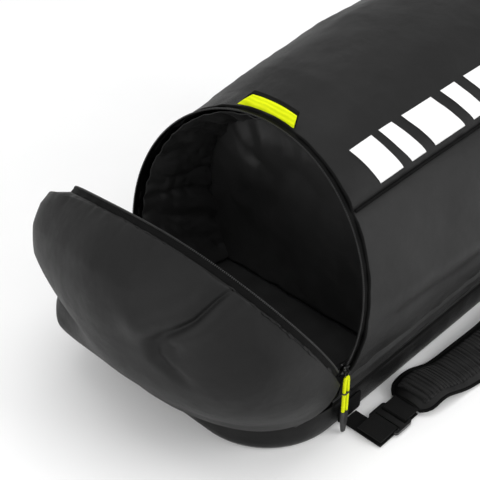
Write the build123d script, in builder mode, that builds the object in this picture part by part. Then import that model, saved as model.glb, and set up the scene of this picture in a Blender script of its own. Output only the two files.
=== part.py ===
"""Racket tournament bag with an end-opening shoe compartment, in millimetres.

Frame: the origin is on the floor under the middle of the base. +X runs along the bag, away from the
shoe end. +Y is the far side, -Y the near side, +Z up. The shoe compartment is stored with its end flap
folded open and its zip slider parked at the near lower end of the mouth.
"""
from build123d import *
from math import asin, cos, degrees, radians, sin, tan
import os

# ---- driving dimensions -----------------------------------------------------------------------
BASE_HALF_LENGTH = 390.0      # base panel, middle to either end
BASE_HALF_WIDTH = 186.0       # lower gusset, middle to either side
BODY_HALF_WIDTH = 208.0       # widest part of the body
BODY_HEIGHT = 368.0
FABRIC = 3.0                  # coated fabric with its foam backing
GUSSET_TOP = 44.0             # lower gusset's top edge, where the racket zip starts
SHELL_BOTTOM = 60.0           # upper panels' lower edge, where the racket zip ends
GUSSET_CORNER = 112.0         # plan radius of the base corners
SHELL_CORNER = 110.0          # plan radius of the upper panels at the rear end
TAPER_END_X = -110.0          # the body narrows from here to the mouth
SEAM_Y = 150.0                # shoulder seams between the top panel and the side panels

HINGE_X = -280.0              # the end flap folds about a line through both ends of the mouth zip
HINGE_Z = 100.0
MOUTH_RADIUS = 202.0          # the fabric's edge beside the mouth zip follows a circular arc
MOUTH_RISE = 66.0             # arc centre above the fold line, in the mouth's own plane
MOUTH_LEAN = 13.3             # degrees that the mouth leans back over the bag
FLAP_OPEN = 32.0              # degrees that the open flap leans out over the floor
BOOT_X = -400.0               # outer face of the toe boot under the flap
BOOT_TOP_ANGLE = 158.0        # the boot's top edge, as an angle about the fold line from +X

ZIP_RADIUS = 200.0            # middle of the mouth zip's tape
TAPE = 1.4                    # zip tape thickness
TAPE_WIDTH = 14.0
TAPE_COVER = 10.0             # the body's fabric starts this far from the mouth zip's middle line
TOOTH_GAP = 0.6               # from the zip's middle line to the first face of its teeth
TOOTH_WIDTH = 1.8
TOOTH_HEIGHT = 2.5
FLAP_ZIP_TRIM = 20.0          # the flap's zip starts this far from the fold line
SLIDER_ANGLE = 196.3          # slider's place on the arc, in degrees from the far side
SLIDER_LENGTH = 14.0
SLIDER_WIDTH = 12.0
WING = 1.6                    # slider wing thickness

POCKET_END_X = -128.0         # inner end of the shoe pocket
LINING = 1.5
DIVIDER = 6.0
DIVIDER_LEVELS = {"lower_divider": 125.0, "upper_divider": 235.0}

RACKET_ZIP_Z = 52.0
RACKET_SLIDER_X = 250.0

STRAP_WIDTH = 66.0
STRAP_PAD = 12.0
WEBBING = 2.0
WEBBING_WIDTH = 38.0

ZIP_DIP = degrees(asin(MOUTH_RISE / MOUTH_RADIUS))   # how far the arc runs below its centre, degrees
SIDES = {"near": -1, "far": 1}

os.makedirs("parts", exist_ok=True)


def save(builder, name):
    """Labels a finished piece and writes its STEP file."""
    builder.part.label = name
    export_step(builder.part, f"parts/{name}.step")


def mouth_plane(lean):
    """Plane of the mouth's arc: x to the far side, y up, z into the bag. lean is towards +X, degrees."""
    a = radians(lean)
    origin = (HINGE_X + MOUTH_RISE * sin(a), 0, HINGE_Z + MOUTH_RISE * cos(a))
    return Plane(origin=origin, x_dir=(0, 1, 0), z_dir=(cos(a), 0, -sin(a)))


def shifted(plane, distance):
    """The same plane moved along its own normal."""
    return plane.offset(distance)


MOUTH = mouth_plane(MOUTH_LEAN)
FLAP = mouth_plane(-FLAP_OPEN)


def arc_band(inner, outer, first, last):
    """Sketch of a band between two radii, from angle first to angle last, in degrees."""
    with BuildSketch() as section:
        with BuildLine():
            a = CenterArc((0, 0), outer, first, last - first)
            b = CenterArc((0, 0), inner, first, last - first)
            Line(a @ 0, b @ 0)
            Line(a @ 1, b @ 1)
        make_face()
    return section.sketch_local


def vault(half_width, centre_z, floor_z, floor_half_width):
    """Sketch of a vaulted section: a round top that carries on a little below its centre, then plain sides."""
    with BuildSketch() as section:
        with BuildLine():
            top = CenterArc((0, centre_z), half_width, -ZIP_DIP, 180 + 2 * ZIP_DIP)
            Polyline(top @ 1, (-floor_half_width, floor_z), (floor_half_width, floor_z), top @ 0)
        make_face()
    return section.sketch_local


def body_solid(inset):
    """The upper body's outer form as a closed solid, with every outer face moved in by inset."""
    width = BODY_HALF_WIDTH - inset
    with BuildPart() as form:
        with BuildSketch(Plane.YZ.offset(-330)):
            add(vault(width, BODY_HEIGHT - BODY_HALF_WIDTH, SHELL_BOTTOM, BASE_HALF_WIDTH + 2 - inset))
        extrude(amount=330 + BASE_HALF_LENGTH - inset)
        with BuildSketch(Plane.XY.offset(-10)):
            with Locations((0, 0)):
                RectangleRounded(2 * (BASE_HALF_LENGTH - inset), 2 * width, SHELL_CORNER - inset)
        extrude(amount=400, mode=Mode.INTERSECT)
        with BuildSketch(Plane.XZ.offset(-250)):
            with BuildLine():
                end = BASE_HALF_LENGTH - inset
                top = BODY_HEIGHT - inset
                Polyline((end, top - 140), (end, -10), (-330, -10), (-330, top), (end - 170, top))
                TangentArc((end - 170, top), (end, top - 140), tangent=(1, 0))
            make_face()
        extrude(amount=500, mode=Mode.INTERSECT)
    side = MOUTH_RADIUS * cos(radians(ZIP_DIP))
    with BuildPart() as taper:
        for near, far in ((-60, TAPE_COVER), (None, None)):
            first = shifted(MOUTH, TAPE_COVER if near is None else near)
            with BuildSketch(first):
                add(vault(MOUTH_RADIUS + 2 - inset, 0, -260, side + 2 - inset))
            if near is None:
                with BuildSketch(Plane.YZ.offset(TAPER_END_X)):
                    add(vault(width, BODY_HEIGHT - BODY_HALF_WIDTH, -60, width))
            else:
                with BuildSketch(shifted(MOUTH, far)):
                    add(vault(MOUTH_RADIUS + 2 - inset, 0, -260, side + 2 - inset))
            loft(ruled=True)
        with BuildSketch(Plane.YZ.offset(TAPER_END_X)):
            Rectangle(900, 900)
        extrude(amount=800)
    return form.part & taper.part


# ---- upper panels: one hollow body, cut along its seams ---------------------------------------
outer_form = body_solid(0)
inner_form = body_solid(FABRIC)

with BuildPart() as shell:
    add(outer_form)
    add(inner_form, mode=Mode.SUBTRACT)
    with BuildSketch(Plane.XY.offset(SHELL_BOTTOM - 60)):
        Rectangle(900, 500)
    extrude(amount=60 + 0.01, mode=Mode.SUBTRACT)
    with BuildSketch(shifted(MOUTH, TAPE_COVER)):
        Rectangle(900, 900)
    extrude(amount=-300, mode=Mode.SUBTRACT)

REAR_SEAM_X = 285.0
SEAM_GAP = 0.2


def panel(name, x_range, y_range):
    """One sewn panel: the hollow body's part between two x and two y limits."""
    x0, x1 = x_range
    y0, y1 = y_range
    with BuildPart() as piece:
        add(shell.part)
        with BuildSketch(Plane.XY.offset(-10)):
            with Locations(((x0 + x1) / 2, (y0 + y1) / 2)):
                Rectangle(x1 - x0, y1 - y0)
        extrude(amount=400, mode=Mode.INTERSECT)
    save(piece, name)


panel("top_panel", (-330, REAR_SEAM_X), (-SEAM_Y, SEAM_Y))
panel("near_side_panel", (-330, REAR_SEAM_X), (-230, -SEAM_Y - SEAM_GAP))
panel("far_side_panel", (-330, REAR_SEAM_X), (SEAM_Y + SEAM_GAP, 230))
panel("rear_end_panel", (REAR_SEAM_X + SEAM_GAP, 400), (-230, 230))


# ---- base, gusset and toe boot ----------------------------------------------------------------
def plan_outline(inset):
    """Sketch of the base's plan: a rounded rectangle from the toe boot to the rear end."""
    length = BASE_HALF_LENGTH - BOOT_X - 2 * inset
    with BuildSketch() as outline:
        with Locations(((BASE_HALF_LENGTH + BOOT_X) / 2, 0)):
            RectangleRounded(length, 2 * (BASE_HALF_WIDTH - inset), GUSSET_CORNER - inset)
    return outline.sketch_local


with BuildPart() as base_panel:
    with BuildSketch():
        add(plan_outline(0))
    extrude(amount=FABRIC)
save(base_panel, "base_panel")

with BuildPart() as base_board:
    with BuildSketch(Plane.XY.offset(FABRIC)):
        add(plan_outline(FABRIC + 1))
    extrude(amount=2)
save(base_board, "base_board")

with BuildPart() as lower_gusset:
    with BuildSketch(Plane.XY.offset(FABRIC)):
        add(plan_outline(0))
        add(plan_outline(FABRIC), mode=Mode.SUBTRACT)
    extrude(amount=GUSSET_TOP - FABRIC)
save(lower_gusset, "lower_gusset")

BOOT_END_X = -294.0
boot_rise = tan(radians(180 - BOOT_TOP_ANGLE))
with BuildPart() as toe_boot:
    with BuildSketch(Plane.XY.offset(GUSSET_TOP)):
        add(plan_outline(0))
        add(plan_outline(FABRIC), mode=Mode.SUBTRACT)
    extrude(amount=130)
    with BuildSketch(Plane.XZ.offset(-250)):
        with BuildLine():
            low_z = HINGE_Z + (HINGE_X - BOOT_END_X) * boot_rise
            high_z = HINGE_Z + (HINGE_X + 420) * boot_rise
            Polyline((BOOT_END_X, 0), (BOOT_END_X, low_z), (-420, high_z), (-420, 0), close=True)
        make_face()
    extrude(amount=500, mode=Mode.INTERSECT)
save(toe_boot, "toe_boot")

# ---- shoe pocket lining: an open-fronted sock inside the mouth --------------------------------
POCKET_RADIUS = 190.0
POCKET_FLOOR = 8.0


def pocket_form(inset, front_u, end_x):
    """Closed solid of the shoe pocket, from front_u along the mouth's normal back to end_x."""
    with BuildPart() as form:
        with BuildSketch(shifted(MOUTH, front_u)):
            add(vault(POCKET_RADIUS - inset, 0, -240, POCKET_RADIUS - 12 - inset))
        extrude(amount=400)
        with BuildSketch(Plane.XZ.offset(-250)):
            with Locations(((end_x - 400) / 2, 200 + POCKET_FLOOR + inset)):
                Rectangle(end_x + 400, 400)
        extrude(amount=500, mode=Mode.INTERSECT)
    return form.part


with BuildPart() as shoe_pocket:
    add(pocket_form(0, 16, POCKET_END_X))
    add(pocket_form(LINING, -20, POCKET_END_X - LINING), mode=Mode.SUBTRACT)
save(shoe_pocket, "shoe_pocket_lining")

# ---- padded dividers between the racket compartments ------------------------------------------
for name, level in DIVIDER_LEVELS.items():
    with BuildPart() as divider:
        with BuildSketch(Plane.XY.offset(level)):
            with Locations(((POCKET_END_X + 4 + 375) / 2, 0)):
                RectangleRounded(371 - POCKET_END_X, 390, 90)
        extrude(amount=DIVIDER)
        add(body_solid(FABRIC + 2), mode=Mode.INTERSECT)
    save(divider, name)


# ---- mouth zip: a tape and a row of teeth on each side -----------------------------------------
def zip_tape(name, plane, side, trim):
    """A tape on one side of the zip's middle line. side is +1 into the bag, trim is in degrees."""
    first, last = trim - ZIP_DIP, 180 + ZIP_DIP - trim
    with BuildPart() as tape:
        with BuildSketch(shifted(plane, side * (TOOTH_GAP + TOOTH_WIDTH))):
            add(arc_band(ZIP_RADIUS - TAPE / 2, ZIP_RADIUS + TAPE / 2, first, last))
        extrude(amount=side * TAPE_WIDTH)
    save(tape, f"{name}_tape")
    with BuildPart() as teeth:
        with BuildSketch(shifted(plane, side * TOOTH_GAP)):
            add(arc_band(ZIP_RADIUS - TOOTH_HEIGHT / 2, ZIP_RADIUS + TOOTH_HEIGHT / 2, first, last))
        extrude(amount=side * TOOTH_WIDTH)
    save(teeth, f"{name}_teeth")


flap_trim = degrees(asin((MOUTH_RISE) / MOUTH_RADIUS) - asin((MOUTH_RISE - FLAP_ZIP_TRIM) / MOUTH_RADIUS))
zip_tape("mouth_zip_body", MOUTH, 1, 0.0)
zip_tape("mouth_zip_flap", FLAP, -1, flap_trim)

with BuildPart() as end_stops:
    for angle in (180 + ZIP_DIP + 1.0, -ZIP_DIP - 1.0):
        with BuildSketch(shifted(MOUTH, TOOTH_GAP)):
            add(arc_band(ZIP_RADIUS - 2, ZIP_RADIUS + 2, angle - 0.7, angle + 0.7))
        extrude(amount=8)
save(end_stops, "mouth_zip_end_stops")


# ---- end flap: a domed shell, made of sections that fan out about the fold line ----------------
FLAP_FABRIC = 3.0
FLAP_FAN = [(122.0, 1.0), (139.0, 0.945), (156.0, 0.85), (173.0, 0.745), (190.0, 0.645), (204.0, 0.58)]
FLAP_LIP_SETBACK = TAPE_WIDTH + TOOTH_WIDTH + TOOTH_GAP   # the fabric starts where the tape ends


def fan_plane(angle):
    """Half-plane through the fold line at an angle from +X: x to the far side, y away from the fold line."""
    a = radians(angle)
    return Plane(origin=(HINGE_X, 0, HINGE_Z), x_dir=(0, 1, 0), z_dir=(sin(a), 0, -cos(a)))


def fan_section(scale, inset, trim):
    """Sketch of the flap's band at one fan angle, for a shell of FLAP_FABRIC thickness."""
    outer = MOUTH_RADIUS - inset
    with BuildSketch() as section:
        with BuildLine():
            rings = []
            for size in (outer, outer - FLAP_FABRIC):
                low = degrees(asin((trim / scale - MOUTH_RISE) / size))
                rings.append(EllipticalCenterArc((0, MOUTH_RISE * scale), size, size * scale, low, arc_size=180 - 2 * low))
            Line(rings[0] @ 0, rings[1] @ 0)
            Line(rings[0] @ 1, rings[1] @ 1)
        make_face()
    return section.sketch_local


with BuildPart() as flap_panel:
    for angle, scale in FLAP_FAN:
        with BuildSketch(fan_plane(angle + 1.5 if scale == 1.0 else angle)):
            add(fan_section(scale, 0, 26.0))
    loft()
    with BuildSketch(shifted(FLAP, -FLAP_LIP_SETBACK)):
        Rectangle(900, 900)
    extrude(amount=100, mode=Mode.SUBTRACT)
save(flap_panel, "flap_panel")


# ---- zip sliders ------------------------------------------------------------------------------
def slider_solid(plane, length):
    """A zip slider. plane: origin on the zip's middle line, x across it (+ to the fixed tape), y along
    the travel, z out of the bag. Two wings, a neck between them, a lip by the fixed tape and a bail."""
    slot = TOOTH_HEIGHT / 2 + 0.45
    with BuildPart() as slider:
        for low in (slot, -slot - WING):
            with BuildSketch(plane.offset(low)):
                RectangleRounded(SLIDER_WIDTH, length, 3.0)
            extrude(amount=WING)
        with BuildSketch(plane.offset(-slot - 0.1)):
            with Locations((0, length / 2 - 3.0)):
                Rectangle(0.7, 5.0)
        extrude(amount=2 * slot + 0.2)
        with BuildSketch(plane.offset(slot - 0.35)):
            with Locations((SLIDER_WIDTH / 2 - 0.6, 0)):
                Rectangle(1.0, length - 6.0)
        extrude(amount=0.5)
        for end in (-1, 1):
            with BuildSketch(plane.offset(slot + WING - 0.1)):
                with Locations((0, end * 3.4)):
                    Rectangle(2.2, 1.6)
            extrude(amount=5.7)
        with BuildSketch(plane.offset(slot + WING + 4.6)):
            RectangleRounded(2.2, 8.4, 0.8)
        extrude(amount=1.4)
    return slider


BAIL_HEIGHT = TOOTH_HEIGHT / 2 + 0.45 + WING + 3.3   # pin's axis above the zip's surface


def slider_plane(angle):
    """Frame of a slider on the mouth zip at an arc angle."""
    a = radians(angle)
    out = MOUTH.x_dir * cos(a) + MOUTH.y_dir * sin(a)
    origin = MOUTH.origin + out * ZIP_RADIUS
    return Plane(origin=origin, x_dir=MOUTH.z_dir, z_dir=out)


mouth_slider_plane = slider_plane(SLIDER_ANGLE)
save(slider_solid(mouth_slider_plane, SLIDER_LENGTH), "mouth_slider")

CORD = 5.0                     # braided pull cord
CORD_SPREAD = 3.1              # each strand of the loop, out from the pull's middle
PIN = 0.7                      # wire radius of a pull's link


def pull(prefix, pin_at, pin_dir, link_drop, cord_drop, tip_drop):
    """A zip pull that hangs straight down from a pin: wire link, cord loop, band and moulded tip."""
    pin = Vector(*pin_at)
    across = Vector(*pin_dir).normalized()
    level = Vector(across.X, across.Y, 0).normalized()
    reach = CORD_SPREAD / (across.dot(level))
    with BuildPart() as link:
        ends = [pin + across * reach, pin - across * reach]
        feet = [Vector(e.X, e.Y, pin.Z - link_drop) for e in ends]
        with BuildLine():
            FilletPolyline(feet[0], ends[0], ends[1], feet[1], radius=PIN * 1.3)
        with BuildSketch(Plane(origin=feet[0], z_dir=(0, 0, 1))):
            Circle(PIN)
        sweep()
    save(link, f"{prefix}_link")
    top = pin.Z - link_drop
    with BuildPart() as cord:
        for side in (-1, 1):
            foot = pin + level * (side * CORD_SPREAD)
            with BuildSketch(Plane(origin=(foot.X, foot.Y, top - cord_drop), z_dir=(0, 0, 1))):
                Circle(CORD / 2)
            extrude(amount=cord_drop)
    save(cord, f"{prefix}_cord")
    frame = Plane(origin=(pin.X, pin.Y, top - cord_drop), x_dir=tuple(level), z_dir=(0, 0, 1))
    with BuildPart() as band:
        with BuildSketch(frame.offset(cord_drop * 0.55)):
            SlotOverall(2 * CORD_SPREAD + CORD + 2.0, CORD + 2.0)
            for side in (-1, 1):
                with Locations((side * CORD_SPREAD, 0)):
                    Circle(CORD / 2 + 0.02, mode=Mode.SUBTRACT)
        extrude(amount=2.0)
    save(band, f"{prefix}_band")
    with BuildPart() as tip:
        with BuildSketch(frame):
            SlotOverall(2 * CORD_SPREAD + CORD + 1.0, CORD + 2.0)
        with BuildSketch(frame.offset(-tip_drop * 0.55)):
            SlotOverall(2 * CORD_SPREAD + CORD, CORD + 1.0)
        with BuildSketch(frame.offset(-tip_drop)):
            SlotOverall(7.0, 4.4)
        loft()
    save(tip, f"{prefix}_tip")


mouth_pin = mouth_slider_plane.origin + mouth_slider_plane.z_dir * BAIL_HEIGHT
pull("mouth_pull", tuple(mouth_pin), tuple(MOUTH.z_dir), 9.0, 58.0, 37.0)

# ---- racket zip: runs along both sides and round the rear end ----------------------------------
RACKET_TAPE_Y = BASE_HALF_WIDTH - 1.0


def racket_band(depth_out, depth_in):
    """Sketch of a thin band that follows the base's plan, open over the toe boot."""
    with BuildSketch() as band:
        add(plan_outline(BASE_HALF_WIDTH - RACKET_TAPE_Y - depth_out))
        add(plan_outline(BASE_HALF_WIDTH - RACKET_TAPE_Y + depth_in), mode=Mode.SUBTRACT)
        with Locations((BOOT_END_X - 100 + 6, 0)):
            Rectangle(200, 500, mode=Mode.SUBTRACT)
    return band.sketch_local


racket_half = RACKET_ZIP_Z - GUSSET_TOP
for name, low, high in (
    ("racket_zip_lower_tape", GUSSET_TOP, RACKET_ZIP_Z - 2.4),
    ("racket_zip_upper_tape", RACKET_ZIP_Z + 2.4, SHELL_BOTTOM),
):
    with BuildPart() as tape:
        with BuildSketch(Plane.XY.offset(low)):
            add(racket_band(TAPE / 2, TAPE / 2))
        extrude(amount=high - low)
    save(tape, name)

with BuildPart() as racket_coil:
    with BuildSketch(Plane.XY.offset(RACKET_ZIP_Z - 2.4)):
        add(racket_band(TOOTH_HEIGHT / 2, TOOTH_HEIGHT / 2))
    extrude(amount=4.8)
save(racket_coil, "racket_zip_coil")

# ---- racket zip sliders: a saddle over the coil, with a hanging pull ---------------------------
for side, sign in SIDES.items():
    face_y = sign * (RACKET_TAPE_Y + TOOTH_HEIGHT / 2 + 0.35)
    with BuildPart() as slider:
        face = Plane(origin=(RACKET_SLIDER_X, face_y, RACKET_ZIP_Z), x_dir=(1, 0, 0), z_dir=(0, sign, 0))
        with BuildSketch(face):
            RectangleRounded(16, 11, 3)
        extrude(amount=WING)
        with BuildSketch(face.offset(WING)):
            for end in (-1, 1):
                with Locations((0, end * 2.6)):
                    Rectangle(3, 1.4)
        extrude(amount=5.2)
        with BuildSketch(face.offset(WING + 4.1)):
            RectangleRounded(3, 6.6, 0.6)
        extrude(amount=1.4)
    save(slider, f"{side}_racket_slider")
    pin_y = face_y + sign * (WING + 2.8)
    pull(f"{side}_racket_pull", (RACKET_SLIDER_X, pin_y, RACKET_ZIP_Z), (1, 0, 0), 6.0, 20.0, 16.0)

# ---- piping: round the mouth and along both shoulder seams --------------------------------------
clear_of_body = body_solid(-0.1)
with BuildPart() as mouth_piping:
    with BuildSketch(shifted(MOUTH, TAPE_COVER + 0.2)):
        add(arc_band(MOUTH_RADIUS + 2.1, MOUTH_RADIUS + 5.8, -ZIP_DIP, 180 + ZIP_DIP))
    extrude(amount=3.2)
    add(clear_of_body, mode=Mode.SUBTRACT)
save(mouth_piping, "mouth_piping")

PIPING = 2.2
for side, sign in SIDES.items():
    lift = (BODY_HALF_WIDTH + PIPING + 0.05) / BODY_HALF_WIDTH
    rise = (BODY_HALF_WIDTH**2 - SEAM_Y**2) ** 0.5
    seam_z = BODY_HEIGHT - BODY_HALF_WIDTH + rise * lift
    with BuildPart() as piping:
        with BuildSketch(Plane.YZ.offset(TAPER_END_X)):
            with Locations((sign * SEAM_Y * lift, seam_z)):
                Circle(PIPING)
        extrude(amount=320)
    save(piping, f"{side}_seam_piping")

# ---- neon grab tab at the top of the mouth -----------------------------------------------------
TAB_FIRST, TAB_LAST = 78.0, 102.0     # degrees along the mouth's arc
for name, low_u, height in (("grab_tab_facing", 13.6, 15.0), ("grab_tab_backing", 16.0, 20.0)):
    with BuildPart() as tab:
        with BuildSketch(shifted(MOUTH, low_u)):
            add(arc_band(MOUTH_RADIUS + 2.6, MOUTH_RADIUS + 2.6 + height, TAB_FIRST, TAB_LAST))
        extrude(amount=2.2)
        add(clear_of_body, mode=Mode.SUBTRACT)
    save(tab, name)

# ---- rear end handle and far side carry handle -------------------------------------------------


def bridge_handle(name, plane, span, rise, width):
    """A webbing loop that stands off a panel. plane: origin on the panel, x along the span, z outwards."""
    foot = 34.0
    with BuildPart() as webbing:
        with BuildSketch(Plane(origin=plane.origin, x_dir=plane.x_dir, z_dir=-plane.y_dir)):
            with BuildLine():
                points = [(-span / 2 - foot, 1.2), (-span / 2, 1.2), (-span / 2 + 26, rise),
                          (span / 2 - 26, rise), (span / 2, 1.2), (span / 2 + foot, 1.2)]
                FilletPolyline(*points, radius=14)
            trace(line_width=2.2)
        extrude(amount=width / 2, both=True)
    save(webbing, f"{name}_webbing")
    with BuildPart() as grip:
        middle = Plane(origin=plane.origin + plane.z_dir * rise, x_dir=plane.x_dir, z_dir=-plane.y_dir)
        with BuildSketch(middle):
            RectangleRounded(span - 90, 12, 4)
        extrude(amount=width / 2 + 3, both=True)
        with BuildSketch(middle):
            Rectangle(span, 2.4)
        extrude(amount=width / 2 + 0.2, both=True, mode=Mode.SUBTRACT)
    save(grip, f"{name}_grip")


rear_plane = Plane(origin=(BASE_HALF_LENGTH + 0.3, 0, 135), x_dir=(0, 1, 0), z_dir=(1, 0, 0))
side_plane = Plane(origin=(60, BODY_HALF_WIDTH + 0.3, 150), x_dir=(1, 0, 0), z_dir=(0, 1, 0))
bridge_handle("rear_handle", rear_plane, 150, 26, 32)
bridge_handle("carry_handle", side_plane, 200, 34, 36)

# ---- shoulder straps ---------------------------------------------------------------------------
STRAP_FLOOR = 0.4
STRAP_Y = 231.0               # middle of each strap's ends, out from the bag's middle
PAD_START, PAD_END = -186.0, 178.0
BUCKLE_X = -222.0
PATCH_SPOTS = (-252.0, 236.0)
LOOP = 1.6                    # webbing thickness where it passes through the buckle


def strap_pad(sign, width, low, thickness, corner):
    """A long pad that lies beside the bag and bows gently away from it."""
    with BuildPart() as pad:
        with BuildSketch(Plane.XY.offset(low)):
            with BuildLine():
                Spline((PAD_START, sign * STRAP_Y), (0, sign * (STRAP_Y + 26)), (PAD_END, sign * STRAP_Y),
                       tangents=((1, 0), (1, 0)))
            trace(line_width=width)
        extrude(amount=thickness)
        fillet(pad.edges().filter_by(Axis.Z), radius=corner)
    return pad


for side, sign in SIDES.items():
    pad = strap_pad(sign, STRAP_WIDTH, STRAP_FLOOR, STRAP_PAD, 14)
    save(pad, f"{side}_strap_pad")
    mesh = strap_pad(sign, STRAP_WIDTH - 14, STRAP_FLOOR + STRAP_PAD, 1.6, 8)
    save(mesh, f"{side}_strap_mesh")
    with BuildPart() as buckle:
        with BuildSketch(Plane.XY.offset(STRAP_FLOOR + 3)):
            with Locations((BUCKLE_X, sign * STRAP_Y)):
                RectangleRounded(34, 48, 5)
                for slot in (-8.5, 8.5):
                    with Locations((slot, 0)):
                        Rectangle(7.5, 40, mode=Mode.SUBTRACT)
        extrude(amount=4.5)
    save(buckle, f"{side}_ladder_buckle")
    for piece, turn, free in (("strap_webbing", 8.5, PAD_START - 1), ("strap_tail", -8.5, -266.0)):
        slot_x = BUCKLE_X + turn
        with BuildPart() as webbing:
            with BuildSketch(Plane.XZ.offset(-sign * STRAP_Y)):
                with BuildLine():
                    FilletPolyline((free, 9.6), (slot_x, 9.6), (slot_x, 1.8), (free, 1.8), radius=1.0)
                trace(line_width=LOOP)
            extrude(amount=WEBBING_WIDTH / 2, both=True)
        save(webbing, f"{side}_{piece}")
    with BuildPart() as anchors:
        with BuildSketch(Plane.XY.offset(STRAP_FLOOR + 0.6)):
            with Locations((PATCH_SPOTS[0], sign * (BASE_HALF_WIDTH + 1.5 + STRAP_Y - WEBBING_WIDTH / 2) / 2)):
                Rectangle(28, STRAP_Y - WEBBING_WIDTH / 2 - BASE_HALF_WIDTH - 1.5)
        extrude(amount=LOOP)
        with BuildSketch(Plane.XY.offset(STRAP_FLOOR + 4)):
            with BuildLine():
                FilletPolyline((PAD_END + 0.2, sign * STRAP_Y), (PATCH_SPOTS[1], sign * STRAP_Y),
                               (PATCH_SPOTS[1], sign * (BASE_HALF_WIDTH + 1.5)), radius=20)
            trace(line_width=36)
        extrude(amount=WEBBING)
    save(anchors, f"{side}_strap_anchor_webbing")

with BuildPart() as patches:
    for sign in SIDES.values():
        for x in PATCH_SPOTS:
            with BuildSketch(Plane(origin=(x, sign * BASE_HALF_WIDTH, 20), x_dir=(1, 0, 0), z_dir=(0, sign, 0))):
                RectangleRounded(44, 30, 4)
            extrude(amount=1.5)
save(patches, "strap_anchor_patches")
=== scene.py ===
import bpy, math
import numpy as np
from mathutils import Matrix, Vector, noise


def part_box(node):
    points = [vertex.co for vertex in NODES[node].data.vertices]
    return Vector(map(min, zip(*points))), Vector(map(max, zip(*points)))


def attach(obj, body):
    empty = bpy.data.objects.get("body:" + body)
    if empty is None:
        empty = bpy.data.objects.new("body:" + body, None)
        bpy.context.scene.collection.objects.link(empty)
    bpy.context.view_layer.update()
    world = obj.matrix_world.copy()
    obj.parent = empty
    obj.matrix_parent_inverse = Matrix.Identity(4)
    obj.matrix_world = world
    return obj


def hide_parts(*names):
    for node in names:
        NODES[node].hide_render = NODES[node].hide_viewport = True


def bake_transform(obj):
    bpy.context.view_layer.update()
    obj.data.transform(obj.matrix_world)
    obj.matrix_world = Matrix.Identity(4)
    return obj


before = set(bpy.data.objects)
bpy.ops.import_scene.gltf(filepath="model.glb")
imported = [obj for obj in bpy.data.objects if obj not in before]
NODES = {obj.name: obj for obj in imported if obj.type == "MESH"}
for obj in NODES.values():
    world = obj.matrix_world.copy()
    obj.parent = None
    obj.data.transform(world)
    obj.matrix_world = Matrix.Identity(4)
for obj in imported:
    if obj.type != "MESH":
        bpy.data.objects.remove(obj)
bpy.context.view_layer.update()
R = math.radians

# ---- the frame's own landmarks, in metres: the design's driving dimensions ---------------------
HINGE = np.array([-0.280, 0.0, 0.100])      # middle of the end flap's fold line
RISE = 0.066                                # the mouth's arc centre above the fold line, in its own plane
MOUTH_R, ZIP_R = 0.202, 0.200               # the cloth's edge beside the mouth zip, and the zip itself
DIP = math.asin(RISE / MOUTH_R)             # how far the arc runs below its centre
LEAN, OPEN = R(13.3), R(32)                 # the mouth leans back and the open flap leans out
FLAP_ZIP_TRIM = 0.020                       # the flap's zip starts this far from the fold line
MOUTH_X, TAPER_X, END_X = -0.268, -0.110, 0.390
ROUND_TOP_X, ROUND_SIDE_X = 0.22, 0.28      # the top and the sides start to round off towards the rear
ROUND_TOP_R, ROUND_SIDE_R = 0.17, 0.11      # by these radii
REAR_SEAM_X = 0.285
HALF_W, TOP_Z, LOW_Z = 0.208, 0.368, 0.060  # the upper body
SEAM_Y = 0.150                              # shoulder seams
BOOT_X, BASE_W, CORNER = -0.400, 0.186, 0.112   # the lower gusset: its toe, half width and corner radius
BOOT_SLOPE = R(22)                          # the boot's top edge rises towards the toe
BOOT_END_X, RACKET_ZIP_X = -0.272, -0.288   # rear end of the boot's wall, front end of the racket zip
POCKET_X = -0.1315                          # inner wall of the shoe compartment
RACKET_ZIP_Z = 0.052
TOOTH_PITCH = 0.0026
BRAID = 0.0048                              # diameter of the pulls' neon cord

RING_STEPS, WALL_STEPS = 161, 22            # points round the vault, and up each of its plain walls
CORNERS = ((-1, -1), (1, -1), (1, 1), (-1, 1))
SIDES = {"near": -1, "far": 1}
# the open flap's arcs: angle about the fold line, and height against the mouth's own arc
FAN = [(122.0, 1.0), (139.0, 0.945), (156.0, 0.85), (173.0, 0.745), (190.0, 0.645), (204.0, 0.58)]


def mouth(lean):
    """Centre, across, up and normal of the mouth's plane when it leans by an angle."""
    up = np.array([math.sin(lean), 0, math.cos(lean)])
    return HINGE + RISE * up, np.array([0, 1.0, 0]), up, np.array([math.cos(lean), 0, -math.sin(lean)])


def clamp(v):
    return min(1.0, max(0.0, v))


def fbm(p, scale, seed=0.0, octaves=3):
    """Smooth repeatable noise at a point."""
    v, a, s = 0.0, 1.0, scale
    for k in range(octaves):
        v += a * noise.noise(Vector((p[0] * s + seed, p[1] * s - seed, p[2] * s + 3.7 * k)))
        a, s = a * 0.5, s * 2.1
    return v


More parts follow.
